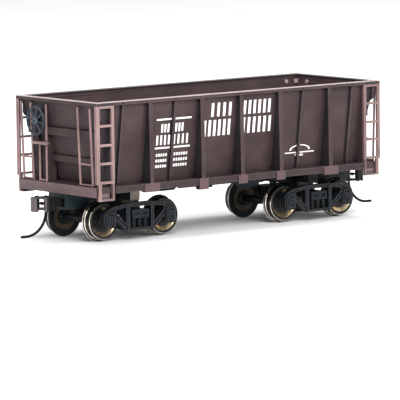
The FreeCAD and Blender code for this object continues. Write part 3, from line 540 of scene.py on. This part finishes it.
wheel_shape = wheel_mesh()
for end in "ba":
    for place in ("outer", "inner"):
        body = f"wheelset_{end}_{place}"
        for side, turn in (("rear", 0.0), ("front", math.pi)):
            node_name = f"wheel_{end}_{place}_{side}"
            low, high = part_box(node_name)
            middle = (low + high) / 2
            wheel = bpy.data.objects.new("tyre_" + node_name, wheel_shape)
            back_y = low.y if side == "rear" else high.y
            wheel.matrix_world = Matrix.Translation((middle.x, back_y, middle.z)) @ Matrix.Rotation(
                turn, 4, "Z")
            bpy.context.scene.collection.objects.link(wheel)
            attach(wheel, body)
            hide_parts(node_name)


# ---------------------------------------------------------------- swept and raised shapes
def tube(bm, path, wide, thick, up, sides=10):
    """Sweeps an oval along a path in millimetres; wide lies across up, thick lies along it."""
    rings = []
    count = len(path)
    for i, point in enumerate(path):
        ahead = Vector(path[min(i + 1, count - 1)]) - Vector(path[max(i - 1, 0)])
        across = ahead.cross(up).normalized()
        lift = across.cross(ahead).normalized()
        share = i / (count - 1)
        half_w = wide[0] + (wide[1] - wide[0]) * share
        half_t = thick[0] + (thick[1] - thick[0]) * share
        rings.append([bm.verts.new((
            Vector(point) + across * (half_w * math.cos(2 * math.pi * k / sides))
            + lift * (half_t * math.sin(2 * math.pi * k / sides))) * MM) for k in range(sides)])
    for low, high in zip(rings, rings[1:]):
        for k in range(sides):
            n = (k + 1) % sides
            bm.faces.new((low[k], low[n], high[n], high[k]))
    bm.faces.new(rings[0])
    bm.faces.new(rings[-1][::-1])


def helix(x, y, z0, z1, radius, turns, steps=14):
    """Points of an upright coil around (x, y), with so many steps in each turn."""
    count = int(turns * steps)
    return [(x + radius * math.cos(2 * math.pi * i / steps),
             y + radius * math.sin(2 * math.pi * i / steps),
             z0 + (z1 - z0) * i / count) for i in range(count + 1)]


SHARPEST_CORNER = 0.35       # keeps the inner point of a very sharp corner from running away


def offset_outline(points, distance):
    """The outline moved inwards (to the left of its direction) by a distance."""
    moved = []
    count = len(points)
    for i in range(count):
        a, b, c = (Vector(points[(i + k - 1) % count]) for k in range(3))
        first, second = (b - a).normalized(), (c - b).normalized()
        left_one, left_two = Vector((-first.y, first.x)), Vector((-second.y, second.x))
        bisector = left_one + left_two
        scale = distance / max(SHARPEST_CORNER, bisector.dot(left_one))
        moved.append(tuple(b + bisector * scale))
    return moved


def raised_band(bm, outline, width, to_point, low, high):
    """Closed raised band that follows the inside of a closed outline."""
    inner = offset_outline(outline, width)
    rings = [[bm.verts.new(to_point(u, v, w)) for u, v in ring]
             for ring, w in ((outline, low), (outline, high), (inner, high), (inner, low))]
    count = len(outline)
    for first, second in zip(rings, rings[1:] + rings[:1]):
        for i in range(count):
            j = (i + 1) % count
            bm.faces.new((first[i], first[j], second[j], second[i]))


def polygon(count, radius, centre, turn=0.0):
    """Corners of a regular polygon around a 2-D centre."""
    return [(centre[0] + radius * math.cos(turn + 2 * math.pi * i / count),
             centre[1] + radius * math.sin(turn + 2 * math.pi * i / count))
            for i in range(count)]


# ---------------------------------------------------------------- hand brake wheel
SPOKES, FIRST_SPOKE_DEG, SPOKE_STEPS = 8, 10.0, 8
RIM_SECTION_SIDES, RIM_SEGMENTS, HUB_SEGMENTS = 12, 72, 36
RIM_R, RIM_HALF_HEIGHT, RIM_HALF_DEPTH, RIM_SETBACK = 3.66, 0.33, 0.30, 0.35
SPOKE_START_R, SPOKE_REACH, SPOKE_DISH = 0.72, RIM_R - 0.78, 0.34
SPOKE_HALF_WIDTHS, SPOKE_HALF_DEPTHS = (0.30, 0.19), (0.17, 0.15)
NUT_R, NUT_TURN, NUT_HOLE_SHARE, NUT_FRONT, NUT_BACK = 0.62, 0.3, 0.68, 0.70, 0.50


def brake_wheel():
    """Dished hand wheel: round rim, eight tapered spokes, stepped hub and a nut in front."""
    low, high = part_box("brake_wheel")
    centre_y, centre_z = (low.y + high.y) / 2 / MM, (low.z + high.z) / 2 / MM
    back_x = high.x / MM
    rim_x = back_x - RIM_SETBACK
    bm = bmesh.new()

    def around(radius, angle, along):
        return about_x(radius, angle, along) + Vector((0.0, centre_y, centre_z)) * MM

    rim = [(RIM_R + RIM_HALF_HEIGHT * math.cos(a), rim_x + RIM_HALF_DEPTH * math.sin(a), 0)
           for a in (2 * math.pi * k / RIM_SECTION_SIDES for k in range(RIM_SECTION_SIDES))]
    spin(bm, rim, RIM_SEGMENTS, around)
    hub = rounded_profile([
        (0.42, back_x - 0.02, 0), (0.42, rim_x - 0.72, 0), (0.62, rim_x - 0.72, 0),
        (0.86, rim_x - 0.42, 0), (0.98, rim_x - 0.1, 0), (0.80, back_x - 0.02, 0)], 0.08)
    spin(bm, hub, HUB_SEGMENTS, around)
    for step in range(SPOKES):
        angle = math.radians(step * 360.0 / SPOKES + FIRST_SPOKE_DEG)
        side, lift = math.cos(angle), math.sin(angle)
        path = []
        for k in range(SPOKE_STEPS + 1):
            t = k / SPOKE_STEPS
            radius = SPOKE_START_R + SPOKE_REACH * t
            sink = -SPOKE_DISH * (1 - t) ** 1.6
            path.append((rim_x + sink, centre_y + side * radius, centre_z + lift * radius))
        tube(bm, path, SPOKE_HALF_WIDTHS, SPOKE_HALF_DEPTHS, Vector((1.0, 0.0, 0.0)))
    nut = polygon(6, NUT_R, (0.0, 0.0), NUT_TURN)
    nut_faces = (rim_x - NUT_FRONT, rim_x - NUT_BACK)
    nut_ring = [bm.verts.new(Vector((x, centre_y + u, centre_z + v)) * MM)
                for x in nut_faces for u, v in nut]
    hole = [bm.verts.new(Vector((
        x, centre_y + u * NUT_HOLE_SHARE, centre_z + v * NUT_HOLE_SHARE)) * MM)
            for x in nut_faces for u, v in nut]
    for i in range(6):
        j = (i + 1) % 6
        bm.faces.new((nut_ring[i], nut_ring[j], nut_ring[6 + j], nut_ring[6 + i]))
        bm.faces.new((hole[i], hole[6 + i], hole[6 + j], hole[j]))
        bm.faces.new((nut_ring[i], hole[i], hole[j], nut_ring[j]))
        bm.faces.new((nut_ring[6 + i], nut_ring[6 + j], hole[6 + j], hole[6 + i]))
    wheel = piece_from(bm, "brake_hand_wheel", "hand_brake", brake_metal)
    soften(wheel, 0.03, 2, 50.0)
    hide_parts("brake_wheel")


brake_wheel()


# ---------------------------------------------------------------- truck details
FRAME_HALF = [
    (4.2, 10.05), (9.3, 9.3), (11.4, 8.3), (11.9, 7.4), (11.9, 4.9), (11.3, 3.9),
    (8.7, 3.9), (8.2, 4.5), (8.2, 6.0), (4.5, 2.75),
]
FRAME_OUTLINE = [(-u, v) for u, v in FRAME_HALF] + FRAME_HALF[::-1]
OPENING_OUTLINE = ((4.6, 4.6), (8.0, 7.6), (8.0, 8.5), (4.6, 9.05))
FRAME_FACE_Y, ROOT = 12.6, -0.3          # raised shapes start a little below the frame's face
COLUMN_U, COLUMN_BOLT_HEIGHTS, COLUMN_BOLT_R = 3.9, (4.1, 6.4, 8.7), 0.27
JOURNAL_U, LID_BOLT_U, LID_BOLT_HEIGHTS, LID_BOLT_R = 10.0, 1.25, (4.8, 7.25), 0.17
LID_RIBS, LID_RIB_HALF, LID_RIB_LOW, LID_RIB_HIGH = (-0.6, 0.0, 0.6), 0.12, 4.7, 6.4
SPRINGS_X, SPRING_Y, SPRING_LOW, SPRING_HIGH = (-1.9, 0.0, 1.9), 12.0, 3.45, 5.85
SPRING_R, SPRING_TURNS, SPRING_WIRE = 0.66, 4.5, (0.15, 0.15)


def truck_details(end, truck_x):
    """Raised flanges, bolt heads, journal lid ribs and coil springs on both side frames."""
    bm = bmesh.new()
    for side in (-1, 1):
        def face(u, v, w, side=side):
            """u along the frame, v up and w out of its face."""
            return Vector((truck_x + u * side, side * (FRAME_FACE_Y + w), v)) * MM

        raised_band(bm, FRAME_OUTLINE, 0.42, face, ROOT, 0.16)
        for mirror in (-1, 1):
            opening = [(mirror * u, v) for u, v in OPENING_OUTLINE]
            if mirror > 0:
                opening.reverse()
            raised_band(bm, opening, 0.28, face, ROOT, 0.14)
        for u in (-COLUMN_U, COLUMN_U):
            for v in COLUMN_BOLT_HEIGHTS:
                solid_from_outline(bm, polygon(6, COLUMN_BOLT_R, (u, v), 0.2), face, 0.2, 0.56)
        for box_u in (-JOURNAL_U, JOURNAL_U):
            for u in LID_RIBS:
                left, right = box_u + u - LID_RIB_HALF, box_u + u + LID_RIB_HALF
                solid_from_outline(
                    bm, [(left, LID_RIB_LOW), (right, LID_RIB_LOW),
                         (right, LID_RIB_HIGH), (left, LID_RIB_HIGH)], face, 0.8, 1.18)
            for u in (-LID_BOLT_U, LID_BOLT_U):
                for v in LID_BOLT_HEIGHTS:
                    solid_from_outline(
                        bm, polygon(6, LID_BOLT_R, (box_u + u, v)), face, 0.5, 0.8)
    details = piece_from(bm, f"truck_castings_{end}", f"truck_{end}",
                         truck_plastic)
    soften(details, 0.04)
    bm = bmesh.new()
    for side in (-1, 1):
        for x in SPRINGS_X:
            coil = helix(truck_x + x, side * SPRING_Y, SPRING_LOW, SPRING_HIGH, SPRING_R,
                         SPRING_TURNS)
            tube(bm, coil, SPRING_WIRE, SPRING_WIRE, Vector((0.0, 0.0, 1.0)), 8)
    piece_from(bm, f"truck_springs_{end}", f"truck_{end}", truck_plastic)


for end, truck_node in (("b", "truck_frame_b"), ("a", "truck_frame_a")):
    low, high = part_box(truck_node)
    truck_details(end, (low.x + high.x) / 2 / MM)


# ---------------------------------------------------------------- coupler knuckle springs
def knuckle_coil(end, outward):
    """Closing coil from the coupler core to the knuckle hub, level with the middle of the head."""
    start, hub, hub_radius, level = (52.25, 0.6), (53.7, 2.2), 0.75, 10.3
    coil_radius, wire, turns, steps = 0.33, 0.15, 3.6, 12
    foot = Vector((outward * start[0], -outward * start[1], level))
    axis = Vector((outward * hub[0], -outward * hub[1], level)) - foot
    reach = axis.length - hub_radius - 2 * wire
    axis.normalize()
    level_across, upright = axis.cross(Vector((0.0, 0.0, 1.0))), Vector((0.0, 0.0, 1.0))
    count = int(turns * steps)
    path = []
    for i in range(count + 1):
        angle = 2 * math.pi * i / steps
        path.append(tuple(foot + axis * (wire + reach * i / count)
                          + level_across * (coil_radius * math.cos(angle))
                          + upright * (coil_radius * math.sin(angle))))
    bm = bmesh.new()
    tube(bm, path, (wire, wire), (wire, wire), axis, 8)
    coil = piece_from(bm, f"knuckle_coil_{end}", f"coupler_{end}", spring_bronze)
    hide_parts(f"knuckle_spring_{end}")


knuckle_coil("b", -1)
knuckle_coil("a", 1)


# ---------------------------------------------------------------- plain printed marks
SHEET_FOOT_Y, SHEET_HEAD_Y, SHEET_FOOT_Z, SHEET_HEAD_Z = 13.75, 16.65, 15.4, 36.8
MARK_ROOT, MARK_FACE = -0.05, 0.03       # how far a mark starts below the sheet and stands proud
UPPER_ROW, LOWER_ROW = (31.4, 35.1), (26.2, 30.5)
HEADING_ROW, DATA_ROW, SMALL_ROWS = (28.3, 30.6), (25.0, 27.6), (21.9, 20.4, 18.9)
RULE_ROWS = ((31.6, 32.05), (23.95, 24.4))
ARC_CENTRE, ARC_HALF_WIDTH, ARC_HEIGHT, ARC_STEPS, ARC_INNER = (22.75, 20.2), 3.6, 1.5, 16, 0.84
ARC_DASHES = [(17.55, 27.85, 19.42, 19.72), (21.2, 21.8, 18.7, 19.1), (22.3, 24.0, 18.6, 19.05)]


def sheet_y(z):
    """Outer face of the sloping side sheet at a height, in millimetres."""
    slope = (SHEET_HEAD_Y - SHEET_FOOT_Y) * (z - SHEET_FOOT_Z) / (SHEET_HEAD_Z - SHEET_FOOT_Z)
    return SHEET_FOOT_Y + slope


def strokes(start, end, low, high, width=0.85, pitch=1.75):
    """Upright bars that fill a width evenly."""
    count = max(1, round((end - start - width) / pitch) + 1)
    step = (end - start - width) / max(1, count - 1)
    return [(start + i * step, start + i * step + width, low, high) for i in range(count)]


def side_marks(side, name):
    """Bars, dashes and an arc where the real car has printing, with no letters or numbers."""
    bars = strokes(-9.0, -2.2, *UPPER_ROW) + strokes(2.0, 11.3, *UPPER_ROW)
    bars += strokes(-11.3, -2.2, *LOWER_ROW) + strokes(2.0, 11.8, *LOWER_ROW)
    for z0, z1 in RULE_ROWS:
        bars += [(-27.3, -22.35, z0, z1), (-21.45, -15.6, z0, z1)]
    for start, end in ((-25.6, -22.9), (-20.9, -18.2)):
        bars += strokes(start, end, *HEADING_ROW, 0.6, 1.2)
    for start, end in ((-27.0, -22.5), (-21.3, -16.4)):
        bars += strokes(start, end, *DATA_ROW, 0.6, 1.3)
    for z0 in SMALL_ROWS:
        for start, end in ((-26.8, -23.2), (-20.8, -16.3)):
            bars += strokes(start, end, z0, z0 + 0.75, 0.5, 0.8)
    bars += ARC_DASHES
    bm = bmesh.new()

    def on_sheet(u, v, w):
        """u to the viewer's right, v up and w out of the sheet."""
        return Vector((-side * u, side * (sheet_y(v) + w), v)) * MM

    for u0, u1, v0, v1 in bars:
        solid_from_outline(bm, [(u0, v0), (u1, v0), (u1, v1), (u0, v1)], on_sheet,
                           MARK_ROOT, MARK_FACE)
    arc = []
    for share in (1.0, ARC_INNER):
        ring = [(ARC_CENTRE[0] + ARC_HALF_WIDTH * share * math.cos(math.pi * k / ARC_STEPS),
                 ARC_CENTRE[1] + ARC_HEIGHT * share * math.sin(math.pi * k / ARC_STEPS))
                for k in range(ARC_STEPS + 1)]
        arc += ring if share == 1.0 else ring[::-1]
    solid_from_outline(bm, arc, on_sheet, MARK_ROOT, MARK_FACE)
    piece_from(bm, name, "car_body", mark_ink, smooth=False)


side_marks(-1, "side_marks_front")
side_marks(1, "side_marks_rear")


# ---------------------------------------------------------------- floor, light, camera
def made_floor():
    """Plain pale paper that the car stands on."""
    s = Shader("floor_paper")
    s.put(s.bsdf.inputs["Base Color"],
          s.mix(s.spread(s.noise(40.0), 0.3, 0.7), (0.86, 0.86, 0.865), (0.90, 0.90, 0.905)))
    s.bsdf.inputs["Roughness"].default_value = 0.9
    s.bsdf.inputs["Specular IOR Level"].default_value = 0.1
    s.bump(s.noise(0.6), 0.01, 0.2)
    bm = bmesh.new()
    bmesh.ops.create_grid(bm, x_segments=4, y_segments=4, size=6.0)
    mesh = bpy.data.meshes.new("floor")
    bm.to_mesh(mesh)
    bm.free()
    mesh.materials.append(s.material)
    floor = bpy.data.objects.new("floor", mesh)
    bpy.context.scene.collection.objects.link(floor)


made_floor()

world = bpy.data.worlds.new("studio")
bpy.context.scene.world = world
world.use_nodes = True
world.node_tree.nodes["Background"].inputs["Color"].default_value = (1.0, 1.0, 1.0, 1.0)
world.node_tree.nodes["Background"].inputs["Strength"].default_value = 0.75


def area_light(name, size, power, place, aim):
    """A square lamp that faces its aim; lengths in metres, power in watts."""
    data = bpy.data.lights.new(name, "AREA")
    data.shape = "SQUARE"
    data.size = size
    data.energy = power
    lamp = bpy.data.objects.new(name, data)
    lamp.location = place
    lamp.rotation_mode = "QUATERNION"
    lamp.rotation_quaternion = (Vector(aim) - Vector(place)).to_track_quat("-Z", "Y")
    bpy.context.scene.collection.objects.link(lamp)


area_light("key", 0.5, 9.0, (-0.45, -0.75, 0.55), (0.0, 0.0, 0.015))
area_light("top", 0.7, 7.0, (0.1, 0.1, 0.9), (0.0, 0.0, 0.02))
area_light("fill", 0.6, 3.5, (0.25, -0.9, 0.3), (0.0, 0.0, 0.02))


SENSOR_MM = 36.0
PICTURE_WIDTH, FOCAL_LENGTH = 400.0, 4291.874        # both in picture elements


def fitted_camera():
    """The photograph's viewing angle: bearing, height, tilt, distance and the point looked at."""
    bearing, height, tilt = map(math.radians, (-38.228, 6.453, -0.709))
    distance, target = 1.164455, Vector((-0.000551, 0.0, 0.007157))
    back = Vector((math.sin(bearing) * math.cos(height), -math.cos(bearing) * math.cos(height),
                   math.sin(height)))
    right = Vector((math.cos(bearing), math.sin(bearing), 0.0))
    up = back.cross(right)
    right, up = (right * math.cos(tilt) + up * math.sin(tilt),
                 up * math.cos(tilt) - right * math.sin(tilt))
    data = bpy.data.cameras.new("camera")
    data.sensor_width = SENSOR_MM
    data.lens = FOCAL_LENGTH / PICTURE_WIDTH * SENSOR_MM
    data.clip_start, data.clip_end = 0.05, 50.0
    camera = bpy.data.objects.new("camera", data)
    place = target + back * distance
    camera.matrix_world = Matrix((
        (right.x, up.x, back.x, place.x), (right.y, up.y, back.y, place.y),
        (right.z, up.z, back.z, place.z), (0.0, 0.0, 0.0, 1.0)))
    bpy.context.scene.collection.objects.link(camera)
    bpy.context.scene.camera = camera


fitted_camera()
bpy.context.scene.view_settings.view_transform = "Standard"

bpy.context.view_layer.update()
